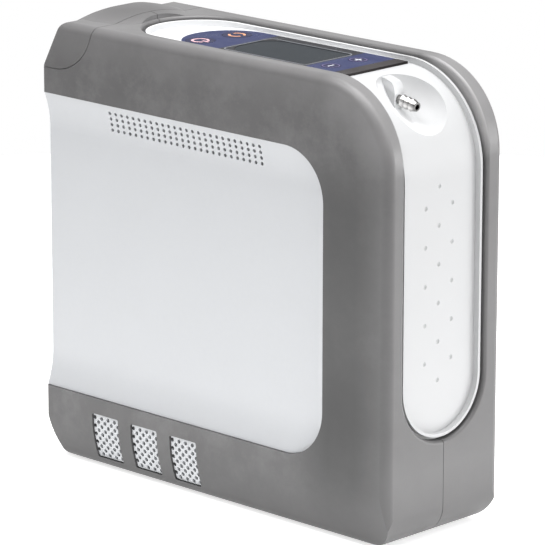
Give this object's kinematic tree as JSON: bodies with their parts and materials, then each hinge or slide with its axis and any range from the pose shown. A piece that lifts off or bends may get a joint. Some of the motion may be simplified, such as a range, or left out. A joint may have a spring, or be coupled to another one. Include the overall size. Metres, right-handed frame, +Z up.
{
  "type": "portable oxygen concentrator",
  "caption": "Slim upright portable oxygen concentrator with dished side panels, wrapped front strip, top display and keys, barbed gas outlet and a lift-out battery.",
  "frame": {"origin": "bottom centre, on the plane the rubber feet stand on", "axes": "+X towards the rounded front with the gas outlet, +Y across the thin body to its right side, +Z up"},
  "size_m": [0.222, 0.076, 0.218],
  "materials": {
    "shell": "fine moulded grain, satin",
    "panel": "smooth, half gloss",
    "strip": "smooth, half gloss",
    "overlay": "printed film, satin",
    "display_glass": "clear window, gloss",
    "key": "printed film, satin",
    "black_plastic": "matt",
    "dark_plastic": "matt",
    "light_plastic": "satin",
    "circuit_board": "solder mask",
    "barb_metal": "plated, bright",
    "brass": "turned",
    "contact_metal": "plated",
    "steel": "satin",
    "aluminium": "satin",
    "cell_wrap": "shrink film",
    "foam": "open foam",
    "rubber": "matt",
    "silicone": "milky"
  },
  "bodies": {
    "housing": {"left_shell": "shell", "right_shell": "shell", "left_panel": "panel", "right_panel": "panel", "front_strip": "strip", "control_overlay": "overlay", "display_window": "display_glass", "display_module": "black_plastic", "display_board": "circuit_board", "key_switches": "light_plastic", "outlet_barb": "barb_metal", "outlet_nut": "brass", "left_exhaust_grille": "panel", "right_exhaust_grille": "panel", "battery_bay": "dark_plastic", "bay_contacts": "contact_metal", "left_intake_foam": "foam", "right_intake_foam": "foam", "rubber_feet": "rubber", "case_screws": "steel", "power_inlet": "black_plastic", "inlet_pin": "contact_metal", "chassis": "dark_plastic", "sieve_bed_a": "aluminium", "sieve_bed_b": "aluminium", "product_tank": "light_plastic", "compressor_motor": "steel", "compressor_crankcase": "aluminium", "compressor_head": "aluminium", "compressor_mounts": "rubber", "fan_housing": "black_plastic", "valve_manifold": "aluminium", "solenoid_valves": "black_plastic", "conserver_valve": "light_plastic", "oxygen_sensor": "circuit_board", "main_board": "circuit_board", "alarm_buzzer": "black_plastic", "intake_filter": "light_plastic", "feed_tube": "silicone", "product_tube": "silicone", "exhaust_muffler": "dark_plastic"},
    "battery": {"battery_cap": "shell", "battery_case": "black_plastic", "battery_cells": "cell_wrap", "battery_contacts": "contact_metal"},
    "release": {"battery_release": "dark_plastic"},
    "power_key": {"power_button": "key"},
    "mode_key": {"mode_button": "key"},
    "minus_key": {"minus_button": "key"},
    "plus_key": {"plus_button": "key"},
    "fan": {"fan_rotor": "black_plastic"}
  },
  "joints": [
    {"name": "battery_slide", "type": "slide", "parent": "housing", "child": "battery", "axis": [0, 0, 1], "range_m": [0, 0.165]},
    {"name": "release_press", "type": "slide", "parent": "housing", "child": "release", "axis": [1, 0, 0], "range_m": [0, 0.002], "stiffness_N_per_m": 400, "springref_m": -0.0005},
    {"name": "power_press", "type": "slide", "parent": "housing", "child": "power_key", "axis": [0, 0, -1], "range_m": [0, 0.0005], "stiffness_N_per_m": 600, "springref_m": -0.0003},
    {"name": "mode_press", "type": "slide", "parent": "housing", "child": "mode_key", "axis": [0, 0, -1], "range_m": [0, 0.0005], "stiffness_N_per_m": 600, "springref_m": -0.0003},
    {"name": "minus_press", "type": "slide", "parent": "housing", "child": "minus_key", "axis": [0, 0, -1], "range_m": [0, 0.0005], "stiffness_N_per_m": 600, "springref_m": -0.0003},
    {"name": "plus_press", "type": "slide", "parent": "housing", "child": "plus_key", "axis": [0, 0, -1], "range_m": [0, 0.0005], "stiffness_N_per_m": 600, "springref_m": -0.0003},
    {"name": "fan_spin", "type": "hinge", "parent": "housing", "child": "fan", "pos_m": [-0.03, 0, 0.0334], "axis": [1, 0, 0], "continuous": true}
  ]
}
